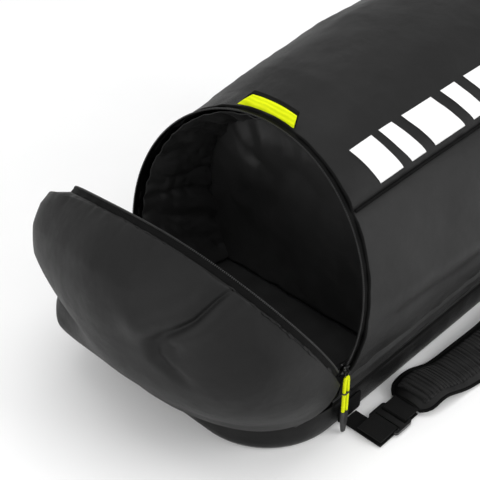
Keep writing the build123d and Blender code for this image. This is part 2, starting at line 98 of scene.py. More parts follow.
# ---- materials ------------------------------------------------------------------------------
class Mat:
    """A Principled material with a few helpers for its nodes."""

    def __init__(self, name, rough=0.6, spec=0.5, metallic=0.0, sheen=0.0):
        self.m = bpy.data.materials.new(name)
        self.m.use_nodes = True
        self.t = self.m.node_tree
        self.b = self.t.nodes["Principled BSDF"]
        for k, v in (("Roughness", rough), ("Specular IOR Level", spec), ("Metallic", metallic),
                     ("Sheen Weight", sheen), ("Sheen Roughness", 0.5)):
            self.b.inputs[k].default_value = v
        self.coord = self.t.nodes.new("ShaderNodeTexCoord").outputs["Object"]

    def node(self, kind, inputs=(), **attrs):
        n = self.t.nodes.new(kind)
        for k, v in attrs.items():
            setattr(n, k, v)
        for k, v in dict(inputs).items():
            s = n.inputs[k]
            if hasattr(v, "is_linked"):
                self.t.links.new(v, s)
            else:
                s.default_value = v
        return n

    def link(self, a, b):
        self.t.links.new(a, b)

    def noise(self, scale, detail=3, rough=0.55, vec=None):
        return self.node("ShaderNodeTexNoise", {"Vector": vec or self.coord, "Scale": scale,
                                                "Detail": detail, "Roughness": rough}).outputs["Fac"]

    def wave(self, scale, direction, distort=0.0):
        return self.node("ShaderNodeTexWave", {"Vector": self.coord, "Scale": scale, "Distortion": distort},
                         wave_type="BANDS", bands_direction=direction, wave_profile="SIN").outputs["Fac"]

    def math(self, op, a, b):
        return self.node("ShaderNodeMath", {0: a, 1: b}, operation=op).outputs[0]

    def ramp(self, fac, lo, hi, p0=0.3, p1=0.7):
        n = self.node("ShaderNodeValToRGB", {"Fac": fac})
        e = n.color_ramp.elements
        e[0].position, e[0].color = p0, (*lo, 1)
        e[1].position, e[1].color = p1, (*hi, 1)
        return n.outputs["Color"]

    def color(self, sock):
        self.link(sock, self.b.inputs["Base Color"])
        return self

    def rough(self, fac, lo, hi):
        n = self.node("ShaderNodeMapRange", {"Value": fac, "To Min": lo, "To Max": hi})
        self.link(n.outputs["Result"], self.b.inputs["Roughness"])
        return self

    def bump(self, height, strength, distance, before=None):
        ins = {"Height": height, "Strength": strength, "Distance": distance}
        if before is not None:
            ins["Normal"] = before
        return self.node("ShaderNodeBump", ins).outputs["Normal"]

    def normal(self, sock):
        self.link(sock, self.b.inputs["Normal"])
        return self.m


def lin(v):
    v = v / 255
    return v / 12.92 if v < 0.04045 else ((v + 0.055) / 1.055) ** 2.4


def grey(v):
    """A neutral linear colour from an 8-bit screen grey."""
    return (lin(v),) * 3


def coated_fabric(name, dark, light):
    """Matt coated polyester: fine plain weave, faint cloudiness, slack hollows and creases."""
    m = Mat(name, spec=0.21)
    cloud = m.noise(9.0, 4)
    fine = m.noise(700.0, 2)
    m.color(m.ramp(m.math("ADD", m.math("MULTIPLY", cloud, 0.75), m.math("MULTIPLY", fine, 0.25)),
                   dark, light, 0.32, 0.68))
    mottle = m.math("ADD", m.math("MULTIPLY", m.noise(22.0, 5), 0.7), m.math("MULTIPLY", fine, 0.3))
    m.rough(mottle, 0.36, 0.60)
    wx, wy, wz = (m.wave(520.0, d) for d in ("X", "Y", "Z"))
    weave = m.math("ADD", m.math("MULTIPLY", wx, wz), m.math("MULTIPLY", wy, 0.6))
    slack = m.bump(m.noise(8.0, 1, 0.4), 0.60, 0.030)
    creased = m.bump(m.noise(32.0, 2, 0.5), 0.35, 0.0050, slack)
    return m.normal(m.bump(weave, 0.22, 0.0006, creased))


def woven(name, dark, light, scale=260.0, axes=("X", "Y"), rough=(0.6, 0.85), depth=0.0009):
    """Webbing and tape: crossed ribs, coloured lighter on the rib tops as painted highlight and darker
    between them as painted shade, with a random tone mixed in.
    """
    m = Mat(name, spec=0.10)
    a = m.wave(scale, axes[0], 0.4)
    b = m.wave(scale * 0.7, axes[1], 0.6)
    rib = m.math("MULTIPLY", m.math("ADD", a, b), 0.5)
    # colour follows the rib height: painted highlight on the rib tops, painted shade in the grooves, plus
    # random tone
    rib_shade_mix = m.math("ADD", m.math("MULTIPLY", rib, 0.7), m.math("MULTIPLY", m.noise(60.0, 4), 0.3))
    m.color(m.ramp(rib_shade_mix, dark, light, 0.25, 0.8))
    m.rough(rib, *rough)
    return m.normal(m.bump(rib, 0.55, depth, m.bump(m.noise(500.0, 2), 0.2, 0.0006)))


def moulded(name, dark, light, rough=(0.35, 0.55), spec=0.5, metallic=0.0, grain=900.0, strength=0.12):
    """Moulded or painted hard pieces with a fine grain and rubbed patches."""
    m = Mat(name, spec=spec, metallic=metallic)
    patch = m.noise(120.0, 4)
    m.color(m.ramp(patch, dark, light))
    m.rough(m.noise(240.0, 3), *rough)
    return m.normal(m.bump(m.noise(grain, 2), strength, 0.0004))


def taffeta(name):
    """Thin shiny lining with long soft folds and fine crinkles."""
    m = Mat(name, spec=0.6)
    crumple = m.node("ShaderNodeTexVoronoi", {"Vector": m.coord, "Scale": 22.0, "Randomness": 1.0},
                     feature="DISTANCE_TO_EDGE").outputs["Distance"]
    m.color(m.ramp(m.noise(6.0, 3), grey(36), grey(54)))
    m.rough(m.noise(30.0, 3), 0.30, 0.44)
    long_way = m.node("ShaderNodeMapping", {"Vector": m.coord, "Scale": (0.5, 1.0, 0.6),
                                            "Rotation": (0.5, 0.3, 0.4)}).outputs["Vector"]
    folds = m.bump(m.noise(11.0, 2, 0.45, long_way), 1.0, 0.020)
    crinkle = m.bump(crumple, 0.16, 0.006, folds)
    return m.normal(m.bump(m.wave(600.0, "Y"), 0.06, 0.0004, crinkle))


def air_mesh(name):
    """Spacer mesh: rows of small oval holes, coloured dark in their middles as painted shade in the holes."""
    m = Mat(name, rough=0.75, spec=0.2, sheen=0.02)
    vec = m.node("ShaderNodeMapping", {"Vector": m.coord, "Scale": (1.0, 1.6, 1.0)}).outputs["Vector"]
    cell = m.node("ShaderNodeTexVoronoi",
                  {"Vector": vec, "Scale": 260.0, "Randomness": 0.12}).outputs["Distance"]
    # the hole middles are darkened as painted shade
    m.color(m.ramp(cell, grey(3), grey(30), 0.2, 0.55))
    rib = m.wave(50.0, "X", 0.5)
    return m.normal(m.bump(cell, 0.8, 0.0012, m.bump(rib, 0.9, 0.0030)))


M = {
    # shell, top and flap are the same coated fabric in three greys: the side shell copy lighter as painted
    # light, the top copy darker as painted shade, the flap copy between them as painted shade
    "shell": coated_fabric("coated_shell_painted_light", grey(18), grey(30)),
    "top": coated_fabric("coated_top_painted_shade", grey(5), grey(17)),
    "flap": coated_fabric("coated_flap_painted_shade", grey(8), grey(22)),
    "gusset": coated_fabric("coated_gusset", grey(4), grey(10)),
    "binding": woven("binding_tape", grey(3), grey(11), 420.0, ("X", "Z")),
    "tape": woven("zip_tape_weave", grey(2), grey(10), 300.0, ("Y", "Z")),
    "webbing": woven("webbing_weave", grey(8), grey(30), 210.0, ("X", "Y"), depth=0.0013),
    "lining": taffeta("taffeta_lining"),
    "neon_tape": woven("neon_webbing", (0.62, 0.74, 0.0), (0.92, 1.0, 0.01), 190.0, ("Y", "X"), (0.5, 0.7)),
    "neon_cord": woven("neon_braid", (0.62, 0.74, 0.0), (0.95, 1.0, 0.01), 520.0, ("Z", "X"), (0.5, 0.7)),
    "rubber": moulded("moulded_rubber", grey(20), grey(46), (0.4, 0.62)),
    "plastic": moulded("buckle_plastic", grey(10), grey(22), (0.22, 0.42)),
    "teeth": moulded("zip_teeth_plastic", grey(6), grey(24), (0.25, 0.45), 0.4),
    "metal": moulded("black_slider_metal", grey(40), grey(84), (0.22, 0.38), 0.7, 0.85),
    "mesh": air_mesh("air_mesh_face"),
    "board": moulded("stiff_board", grey(70), grey(84), (0.6, 0.8)),
    "print": moulded("white_print", (0.80,) * 3, (0.90,) * 3, (0.45, 0.6), 0.4, 0.0, 700.0, 0.2),
}


# ---- mesh helpers ---------------------------------------------------------------------------
def piece(name, verts, faces, material, body="bag", smooth=True):
    """A mesh object with one material from the table M, riding on a body."""
    mesh = bpy.data.meshes.new(name)
    mesh.from_pydata([tuple(map(float, v)) for v in verts], [], faces)
    mesh.update()
    for p in mesh.polygons:
        p.use_smooth = smooth
    o = bpy.data.objects.new(name, mesh)
    bpy.context.scene.collection.objects.link(o)
    mesh.materials.append(M[material])
    if body:
        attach(o, body)
    return o


def grid_faces(n, m, close_n=False, close_m=False):
    """Quads over an n by m grid of points, closed into a ring either way if asked."""
    f = []
    for i in range(n if close_n else n - 1):
        for j in range(m if close_m else m - 1):
            a, b = i * m + j, i * m + (j + 1) % m
            c, d = ((i + 1) % n) * m + (j + 1) % m, ((i + 1) % n) * m + j
            f.append((a, b, c, d))
    return f


def normals_of(g):
    """Unit normals of a grid of points, shape (n, m, 3)."""
    a = np.gradient(g, axis=0)
    b = np.gradient(g, axis=1)
    n = np.cross(a, b)
    return n / np.maximum(np.linalg.norm(n, axis=2, keepdims=True), 1e-9)


def thicken(o, t, offset):
    """Gives a sheet its thickness, with the modifier applied."""
    s = o.modifiers.new("thick", "SOLIDIFY")
    s.thickness, s.offset, s.use_even_offset = t, offset, False
    bpy.context.view_layer.objects.active = o
    for other in bpy.context.selected_objects:
        other.select_set(False)
    o.select_set(True)
    bpy.ops.object.modifier_apply(modifier=s.name)


def sheet_from(name, g, material, body="bag", t=0.002, offset=0.0):
    """A thickened sheet of cloth through a grid of points, shape (n, m, 3)."""
    o = piece(name, g.reshape(-1, 3), grid_faces(*g.shape[:2]), material, None)
    thicken(o, t, offset)
    if body:
        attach(o, body)
    return o


def tube(name, pts, r, material, sides=8, closed=False):
    """A round piping cord along points."""
    p = np.array(pts, float)
    n = len(p)
    t = np.gradient(p, axis=0)
    t /= np.linalg.norm(t, axis=1, keepdims=True)
    up = np.array([0, 0, 1.0]) if abs(t[0][2]) < 0.8 else np.array([1.0, 0, 0])
    rows = []
    for k in range(n):
        a = np.cross(t[k], up)
        a /= np.linalg.norm(a)
        up = np.cross(a, t[k])
        rows.append([p[k] + r * (math.cos(q) * a + math.sin(q) * up)
                     for q in np.linspace(0, 2 * math.pi, sides, endpoint=False)])
    faces = grid_faces(n, sides, closed, True)
    if not closed:
        faces += [tuple(range(sides))[::-1], tuple((n - 1) * sides + k for k in range(sides))]
    return piece(name, np.array(rows).reshape(-1, 3), faces, material)


# ---- camera and light -----------------------------------------------------------------------
def camera():
    """The photograph's view: from the near front corner, looking down at the open mouth."""
    az, el, dist = R(46.5), R(38.2), 1.516
    aim = Vector((-0.2608, 0.0, 0.1974))
    fwd = Vector((math.sin(az) * math.cos(el), math.cos(az) * math.cos(el), -math.sin(el)))
    cam = bpy.data.cameras.new("camera")
    cam.lens, cam.sensor_width = 88.7, 36.0
    cam.clip_end = 50
    o = bpy.data.objects.new("camera", cam)
    bpy.context.scene.collection.objects.link(o)
    o.location = aim - fwd * dist
    o.rotation_euler = fwd.to_track_quat("-Z", "Y").to_euler()
    bpy.context.scene.camera = o


def lamp(name, loc, aim, size, power):
    """A rectangular softbox that faces a point."""
    d = bpy.data.lights.new(name, "AREA")
    d.shape, d.size, d.size_y, d.energy = "RECTANGLE", size[0], size[1], power
    o = bpy.data.objects.new(name, d)
    o.location = loc
    o.rotation_euler = (Vector(aim) - Vector(loc)).to_track_quat("-Z", "Y").to_euler()
    bpy.context.scene.collection.objects.link(o)


def studio():
    """White surroundings, three softboxes and a pale floor just below the bag."""
    w = bpy.data.worlds.new("studio")
    bpy.context.scene.world = w
    w.use_nodes = True
    w.node_tree.nodes["Background"].inputs["Color"].default_value = (1, 1, 1, 1)
    w.node_tree.nodes["Background"].inputs["Strength"].default_value = 0.78
    lamp("key", (0.7, -1.8, 1.2), (-0.1, 0, 0.15), (1.4, 1.0), 19)
    lamp("top", (-0.1, 0.2, 2.2), (-0.1, 0, 0.1), (1.8, 1.6), 15)
    lamp("left", (-2.0, -0.3, 0.9), (-0.3, 0, 0.15), (1.0, 1.0), 9)
    bpy.context.scene.view_settings.view_transform = "Standard"
    s, z = 6.0, -0.0006
    floor = [(a * s, b * s, z) for a, b in CORNERS]
    o = piece("floor", floor, [(0, 1, 2, 3)], "print", None, False)
    m = Mat("pale_floor", rough=0.85, spec=0.1)
    m.color(m.ramp(m.noise(3.0), (0.93, 0.93, 0.93), (0.96, 0.96, 0.96)))
    o.data.materials[0] = m.m


# ---- upper body: one grid, cut into panels along its seams ----------------------------------
def vault_ring(c, across, up, r, low_y, low_v):
    """Points of a vaulted section from its near lower edge over the top to the far one."""
    ends = np.array([r * math.cos(DIP), -r * math.sin(DIP)])
    wall = []
    for k in range(WALL_STEPS):
        q = k / WALL_STEPS
        wall.append((low_y + (ends[0] - low_y) * q, low_v + (ends[1] - low_v) * q))
    arc = RING_STEPS - 2 * WALL_STEPS
    pts = [(-y, v) for y, v in wall]
    for k in range(arc):
        a = math.pi + DIP - (math.pi + 2 * DIP) * k / (arc - 1)
        pts.append((r * math.cos(a), r * math.sin(a)))
    for k in range(WALL_STEPS):
        q = 1 - (k + 1) / WALL_STEPS
        pts.append((low_y + (ends[0] - low_y) * q, low_v + (ends[1] - low_v) * q))
    return np.array([c + y * across + v * up for y, v in pts])


def rounded_off(full, start, r, x):
    """A half width or a height that is full up to a start along X and then falls by an arc of radius r."""
    return full if x < start else full - r + math.sqrt(max(r**2 - (x - start) ** 2, 0))


def shell_grid():
    """Rings of the upper body from the mouth to the middle of the rear end, and their places along X."""
    c, across, up, nrm = mouth(LEAN)
    first = vault_ring(c + 0.010 * nrm, across, up, MOUTH_R + 0.002, 0.1929, -0.1047)
    centre = np.array([TAPER_X, 0, TOP_Z - HALF_W])
    full = vault_ring(centre, across, np.array([0, 0, 1.0]), HALF_W, 0.188, LOW_Z - centre[2])
    rings, xs = [], []
    for k in range(34):
        q = k / 34
        rings.append(first * (1 - q) + full * q)
        xs.append(MOUTH_X + q * (TAPER_X - MOUTH_X))
    for x in np.concatenate([np.linspace(TAPER_X, ROUND_TOP_X, 74), np.linspace(0.225, END_X - 0.0005, 40)]):
        w = rounded_off(HALF_W, ROUND_SIDE_X, ROUND_SIDE_R, x)
        h = rounded_off(TOP_Z, ROUND_TOP_X, ROUND_TOP_R, x)
        ring = full.copy()
        ring[:, 0] = x
        ring[:, 1] *= w / HALF_W
        ring[:, 2] = LOW_Z + (ring[:, 2] - LOW_Z) * (h - LOW_Z) / (TOP_Z - LOW_Z)
        rings.append(ring)
        xs.append(x)
    last = rings[-1]
    mid = np.array([END_X - 0.0005, 0, LOW_Z])
    for q in np.linspace(0.12, 0.97, 9):
        rings.append(mid + (last - mid) * (1 - q))
        xs.append(END_X + q)
    return np.array(rings), np.array(xs)


def outward(g):
    """Unit normals of the shell's grid, turned to point out of the bag."""
    n = normals_of(g)
    return -n if np.mean(n[40, :, 2]) < 0 else n


def soften(g, xs):
    """Moves the shell's points along their normals: panels puff, seams pull in, folds and wrinkles show."""
    n = outward(g)
    out = g.copy()
    for i in range(g.shape[0]):
        for j in range(g.shape[1]):
            x, y, z = g[i, j]
            from_seam = abs(abs(y) - SEAM_Y) if z > 0.2 else 1.0
            d = -0.0022
            # the stitched shoulder seam
            d -= 0.0042 * math.exp(-(from_seam / 0.006) ** 2)
            d += 0.0016 * math.exp(-(from_seam / 0.020) ** 2) * noise.noise(Vector((x * 60, 1.0, y * 8)))
            # slack: puffed sides, and a swell over the far shoulder above the carry handle
            d += 0.0014 * math.exp(-((z - 0.175) / 0.075) ** 2) * (abs(y) > 0.12)
            swell = clamp((xs[i] + 0.20) / 0.26) * clamp((0.42 - xs[i]) / 0.12)
            d += 0.0195 * swell * clamp((y + 0.11) / 0.20) * clamp((z - 0.172) / 0.075)
            # one long fold that falls along the near side, with a hollow under it
            below = z - (0.186 - 0.06 * (x + 0.20))
            if y < -0.1 and x > -0.235:
                grown = min(1.0, (x + 0.235) / 0.08)
                d += 0.0095 * math.exp(-(below / 0.024) ** 2) * grown
                d -= 0.0060 * math.exp(-((below + 0.038) / 0.018) ** 2) * grown
            # wrinkles, finer near the mouth
            d += 0.0020 * noise.noise(Vector((x * 4.5, y * 3.2 + 2.0, z * 15.0)))
            d += 0.0016 * fbm((x, y * 1.6, z * 1.6), 11.0, 5.0)
            near_mouth = math.exp(-((xs[i] + 0.262) / 0.05) ** 2)
            d += 0.0012 * near_mouth * noise.noise(Vector((x * 20, y * 55, z * 55)))
            # the band that covers the racket zip: a stitched groove above it, clear of the mouth slider
            band = clamp((0.0795 - z) / 0.003) * (xs[i] < END_X)
            d += 0.0022 * band - 0.0036 * math.exp(-((z - 0.0810) / 0.0026) ** 2)
            d -= 0.0040 * band * math.exp(-((xs[i] - MOUTH_X) / 0.020) ** 2)
            d += 0.0022 * math.exp(-((z - 0.086) / 0.010) ** 2) * noise.noise(Vector((x * 46, y * 46, 2.0)))
            # the seam round the rear end
            d -= 0.0035 * math.exp(-((xs[i] - REAR_SEAM_X) / 0.006) ** 2)
            out[i, j] = g[i, j] + n[i, j] * d
    return out


def shell_panels():
    """The four upper panels, cut from one grid along their seams."""
    for name, rows, cols, material, node in (
        ("top_panel_fabric", (0, i_rear), (j_near, j_far), "top", "top_panel"),
        ("near_side_fabric", (0, i_rear), (0, j_near), "shell", "near_side_panel"),
        ("far_side_fabric", (0, i_rear), (j_far, RING_STEPS - 1), "shell", "far_side_panel"),
        ("rear_end_fabric", (i_rear, len(xs) - 1), (0, RING_STEPS - 1), "shell", "rear_end_panel"),
    ):
        g = shell[rows[0]:rows[1] + 1, cols[0]:cols[1] + 1]
        o = sheet_from(name, g, material, t=0.0022, offset=1.0)
        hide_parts(node)


def piping():
    """Cord sewn into both shoulder seams and round the mouth."""
    for side, j in (("near", j_near), ("far", j_far)):
        line = [shell[i, j] - np.array([0, 0, 0.0006]) for i in range(2, i_rear - 2)]
        o = tube(side + "_shoulder_piping", line, 0.0022, "binding")
        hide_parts(side + "_seam_piping")
    rim = [shell[0, j] + 0.0015 * mouth(LEAN)[3] for j in range(20, RING_STEPS - 20)]
    o = tube("mouth_seam_piping", rim, 0.0021, "binding")
    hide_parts("mouth_piping")


def white_print():
    """A plain slanted bar graphic, printed on the top panel above the near shoulder seam."""
    n = outward(shell)
    # each bar: where it starts along the bag, and how wide it is
    bars = ((-0.205, 0.062), (-0.122, 0.030), (-0.072, 0.062), (0.010, 0.030), (0.060, 0.062), (0.142, 0.030))
    for b, (start, width) in enumerate(bars):
        rows = []
        for k in range(18):
            q = k / 17
            j = j_near + 1.6 + q * 8.2
            row = []
            for i in range(12):
                x = start + 0.020 * (1 - q) + width * i / 11
                fi = np.interp(x, xs[:i_rear + 1], np.arange(i_rear + 1))
                i0, j0 = int(fi), int(j)
                fx, fj = fi - i0, j - j0
                p = (shell[i0, j0] * (1 - fx) * (1 - fj) + shell[i0 + 1, j0] * fx * (1 - fj)
                     + shell[i0, j0 + 1] * (1 - fx) * fj + shell[i0 + 1, j0 + 1] * fx * fj)
                row.append(p + n[i0, j0] * 0.0007)
            rows.append(row)
        sheet_from(f"print_bar_{b + 1}", np.array(rows), "print", t=0.0003)


# ---- mouth zip ------------------------------------------------------------------------------
def arc_point(lean, angle, r, u):
    """A point at a radius and an angle round the mouth, moved along the mouth's normal."""
    c, across, up, nrm = mouth(lean)
    return c + r * (math.cos(angle) * across + math.sin(angle) * up) + u * nrm


def mouth_tape(name, lean, side, trim, body, node, slack):
    """One side's zip tape: a slightly rippled ribbon that stands on the zip's middle line."""
    first, last = -DIP + trim, math.pi + DIP - trim
    rows = []
    for k in range(261):
        a = first + (last - first) * k / 260
        row = []
        for q in (0.0022, 0.0045, 0.0070, 0.0095, 0.0118, 0.0135):
            ripple = 0.0005 * noise.noise(Vector((a * 30, q * 90, 0)))
            ripple += 0.0004 * (q / 0.0135) * math.sin(a * 47)
            row.append(arc_point(lean, a, ZIP_R + ripple, side * q) + slack(a))
        rows.append(row)
    o = sheet_from(name, np.array(rows), "tape", body, 0.0012)
    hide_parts(node)


def mouth_teeth(name, lean, side, trim, body, node, slack):
    """Separate moulded teeth, each a small rounded block clamped on the tape's edge."""
    first, last = -DIP + trim, math.pi + DIP - trim
    # each section of a tooth: distance from the zip's middle line, half width, half height
    sections = ((0.0006, 0.0005, 0.0008), (0.0012, 0.0008, 0.0012),
                (0.0028, 0.0008, 0.0012), (0.0034, 0.0005, 0.0009))
    verts, faces = [], []
    count = int(abs(last - first) * ZIP_R / TOOTH_PITCH)
    _, across, up, nrm = mouth(lean)
    for k in range(count):
        a = first + (last - first) * (k + 0.5) / count
        c = arc_point(lean, a, ZIP_R, 0) + slack(a)
        out = math.cos(a) * across + math.sin(a) * up
        tan = -math.sin(a) * across + math.cos(a) * up
        s = len(verts)
        for u, w, h in sections:
            for p, q in CORNERS:
                verts.append(c + side * u * nrm + p * w * tan + q * h * out)
        for b in range(s, s + 12, 4):
            for e in range(4):
                f = (e + 1) % 4
                faces.append((b + e, b + f, b + 4 + f, b + 4 + e))
        faces += [(s, s + 3, s + 2, s + 1), (s + 12, s + 13, s + 14, s + 15)]
    o = piece(name, verts, faces, "teeth", body)
    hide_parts(node)


def no_slack(a):
    """The body's side of the mouth is held on its true arc."""
    return np.zeros(3)


def rim_slack(a):
    """How far the open flap's zip edge strays from a true arc: a squared far corner, then a sag."""
    _, across, up, nrm = mouth(-OPEN)
    deg = math.degrees(a)
    out = 0.012 * math.exp(-((deg - 38) / 17) ** 2) - 0.011 * math.exp(-((deg - 84) / 27) ** 2)
    back = 0.004 * math.exp(-((deg - 62) / 34) ** 2)
    return out * (math.cos(a) * across + math.sin(a) * up) - back * nrm


def mouth_zip():
    """Tape and teeth on both sides of the mouth. The flap's side stops short of the fold line."""
    trim = DIP - math.asin((RISE - FLAP_ZIP_TRIM) / MOUTH_R)
    for part, make in (("tape", mouth_tape), ("teeth", mouth_teeth)):
        make(f"body_zip_{part}", LEAN, 1, 0.0, "bag", f"mouth_zip_body_{part}", no_slack)
        make(f"flap_zip_{part}", -OPEN, -1, trim, "end_flap", f"mouth_zip_flap_{part}", rim_slack)


def grab_tab():
    """The neon webbing tab at the top of the mouth and the wider dark backing behind it."""
    for name, node, u0, height, material in (
        ("grab_tab_neon", "grab_tab_facing", 0.0138, 0.0150, "neon_tape"),
        ("grab_tab_dark", "grab_tab_backing", 0.0166, 0.0198, "webbing"),
    ):
        rows = []
        for q in np.linspace(0, 1, 13):
            first, last = 74.2 + 6.4 * q, 100.2 - 0.9 * q     # degrees round the mouth: a trapezoid
            row = []
            for t in np.linspace(0, 1, 61):
                sway = 0.0008 * noise.noise(Vector((t * 5, q * 2, u0 * 90)))
                r = MOUTH_R + 0.0030 + height * q
                row.append(arc_point(LEAN, R(first + (last - first) * t), r, u0 + 0.003 * q * q + sway))
            rows.append(row)
        o = sheet_from(name, np.array(rows), material, t=0.0021)
        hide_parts(node)


# ---- end flap: one slack sheet from the toe seam up to the flap zip -------------------------
def flap_grid(rim_gap, nv=130, nu=280):
    """The open flap: a fan of arcs about the fold line, from its lowest row (v 0) to its zip edge (v 1)."""
    low = FAN[-1][0]
    rows = []
    for k in range(nv):
        phi = low + (FAN[0][0] - low) * k / (nv - 1)
        scale = float(np.interp(phi, [f[0] for f in FAN], [f[1] for f in FAN]))
        row = []
        for i in range(nu):
            th = -DIP + (math.pi + 2 * DIP) * i / (nu - 1)
            h = max(scale * (RISE + MOUTH_R * math.sin(th)), 0.0)
            row.append(HINGE + np.array([h * math.cos(R(phi)), MOUTH_R * math.cos(th), h * math.sin(R(phi))]))
        rows.append(row)
    g = np.array(rows)
    nrm = mouth(-OPEN)[3]
    short = np.maximum(rim_gap + (g - HINGE) @ nrm, 0.0)
    return g - short[..., None] * nrm


def crease(g, s, v):
    """The flap's crease: how deep its groove is and how far each point is from it."""
    nv, nu = g.shape[:2]
    # each mark: place along the zip, place up the flap, groove depth, groove half width
    marks = ((0.680, 1.00, 0.0030, 0.0028), (0.665, 0.90, 0.0046, 0.0030), (0.650, 0.80, 0.0052, 0.0036),
             (0.628, 0.742, 0.0058, 0.0052), (0.606, 0.700, 0.0074, 0.0078), (0.592, 0.650, 0.0088, 0.0095),
             (0.600, 0.605, 0.0070, 0.0080), (0.625, 0.570, 0.0048, 0.0070), (0.665, 0.530, 0.0, 0.0070))
    at = [g[int(round(q[1] * (nv - 1))), int(round(q[0] * (nu - 1)))] for q in marks]
    groove, nearest = np.zeros((nv, nu)), np.full((nv, nu), 9.0)
    for k in range(len(at) - 1):
        a, b = at[k], at[k + 1]
        t = np.clip(((g - a) @ (b - a)) / np.dot(b - a, b - a), 0, 1)
        dist = np.linalg.norm(g - (a + t[..., None] * (b - a)), axis=2)
        deep = marks[k][2] + (marks[k + 1][2] - marks[k][2]) * t
        wide = marks[k][3] + (marks[k + 1][3] - marks[k][3]) * t
        groove = np.maximum(groove, deep * np.exp(-(dist / wide) ** 2))
        nearest = np.minimum(nearest, dist)
    past = s - np.interp(v, [q[1] for q in marks[::-1]], [q[0] for q in marks[::-1]])
    return groove, nearest, 0.5 - 0.5 * np.tanh(past / 0.012)


def flap_shape(g):
    """Slack cloth: a squared far corner, a sharp crease from the rim that turns into a soft fold,
    a bulge on either side of it and small puckers along the zip."""
    nv, nu = g.shape[:2]
    n = normals_of(g)
    if n[nv // 2, nu // 2, 0] > 0:
        n = -n
    v, s = np.meshgrid(np.linspace(0, 1, nv), np.linspace(0, 1, nu), indexing="ij")
    groove, nearest, far_side = crease(g, s, v)
    upper = np.clip((v - 0.62) / 0.12, 0, 1)
    d = 0.0042 * np.exp(-((nearest - 0.014) / 0.012) ** 2) * upper * (1 - far_side)
    d += 0.0062 * np.exp(-((nearest - 0.020) / 0.017) ** 2) * upper * far_side
    # bulges and hollows: height, place along the zip and its spread, place up the flap and its spread
    for height, s0, ds, v0, dv in (
        (0.0120, 0.43, 0.15, 0.74, 0.22), (0.0080, 0.75, 0.11, 0.52, 0.24),
        (-0.0100, 0.32, 0.08, 0.43, 0.050), (-0.0060, 0.52, 0.22, 0.18, 0.14),
        (-0.0075, 0.618, 0.020, 0.655, 0.034), (0.0050, 0.560, 0.030, 0.700, 0.060),
    ):
        d += height * np.exp(-((s - s0) / ds) ** 2 - ((v - v0) / dv) ** 2)
    from_rim = 1 - v
    d *= 1 - np.exp(-(from_rim / 0.045) ** 2)
    d -= groove * np.clip(0.25 + from_rim / 0.06, 0, 1)
    gather = np.exp(-(from_rim / 0.050) ** 2) * np.clip(from_rim / 0.012, 0, 1)
    for k in range(nv):
        for i in range(nu):
            p = g[k, i]
            e = 0.0024 * fbm(p, 6.0, 1.0, 2) * min(1.0, from_rim[k, i] / 0.06) + 0.0006 * fbm(p, 20.0, 9.0, 2)
            pucker = abs(noise.noise(Vector((s[k, i] * 52, 0.3, v[k, i] * 6))))
            d[k, i] += max(e, -0.02 * from_rim[k, i]) + 0.0062 * gather[k, i] * pucker
    out = g + n * d[..., None]
    # the slack far corner, pushed outwards all the way up, and the fold of the toe below it
    push = np.interp(v, (0, 0.15, 0.30, 0.40, 0.46, 0.56, 0.66, 0.80, 0.90, 0.965, 1.0),
                     (0, 0.005, 0.014, 0.013, 0.010, 0.018, 0.027, 0.031, 0.031, 0.024, 0.0))
    lobe = np.exp(-np.abs((s - 0.265) / 0.085) ** 1.7)
    out += (push * lobe)[..., None] * np.array([-0.59, 0.806, 0.0])
    toe = np.exp(-((v - 0.23) / 0.095) ** 2) * np.exp(-np.abs((s - 0.335) / 0.085) ** 1.7)
    out += (0.026 * toe)[..., None] * np.array([-0.65, 0.76, 0.0])
    # the upper part hangs from the zip's slack edge
    hang = np.clip((v - 0.30) / 0.7, 0, 1) ** 1.5
    for i in range(nu):
        out[:, i] += hang[:, i, None] * rim_slack(-DIP + (math.pi + 2 * DIP) * i / (nu - 1))
    return out


def sewn_skirt(row, steps=5):
    """Rows of cloth from the gusset's top seam out to the flap's lowest row."""
    seam = []
    for x, y, z in row:
        w = min(abs(y), BASE_W - 0.001)
        reach = math.sqrt(CORNER**2 - max(0.0, w - (BASE_W - CORNER)) ** 2)
        on_seam = max(BOOT_X + CORNER - 0.0005 - reach, x + 0.004) if w < BASE_W - 0.002 else x
        seam.append((on_seam, math.copysign(w, y), max(0.0455, z)))
    seam = np.array(seam)
    return np.array([seam * (1 - t) + row * t - np.array([0, 0, 0.003 * math.sin(math.pi * t)])
                     for t in np.linspace(0, 1, steps, endpoint=False)])


def end_flap():
    """The flap and its skirt in one piece."""
    flap = flap_shape(flap_grid(0.0120))
    flap = np.concatenate([sewn_skirt(flap[0]), flap])
    o = sheet_from("end_flap_fabric", flap, "flap", None, 0.002)
    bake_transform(o)
    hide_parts("flap_panel")


# ---- lower gusset, base, toe boot and racket zip --------------------------------------------
def run_along(pts):
    """Distance along a line of points, seen from above, at each of them."""
    steps = np.linalg.norm(np.diff(pts[:, :2], axis=0), axis=1)
    return np.concatenate([[0], np.cumsum(steps)])


def plan_ring(inset, z, n):
    """The base's rounded rectangle, moved in by inset, as n evenly spread points."""
    r = max(CORNER - inset, 0.01)
    x_lo, x_hi, w = BOOT_X + inset + r, END_X - inset - r, BASE_W - inset - r
    pts = []
    for cx, cy, start in ((x_hi, w, 0), (x_lo, w, 90), (x_lo, -w, 180), (x_hi, -w, 270)):
        for a in np.linspace(start, start + 90, 13):
            pts.append((cx + r * math.cos(R(a)), cy + r * math.sin(R(a))))
    pts = np.array(pts + [pts[0]])
    run = run_along(pts)
    t = np.linspace(0, run[-1], n, endpoint=False)
    return np.stack([np.interp(t, run, pts[:, 0]), np.interp(t, run, pts[:, 1]), np.full(n, z)], 1)


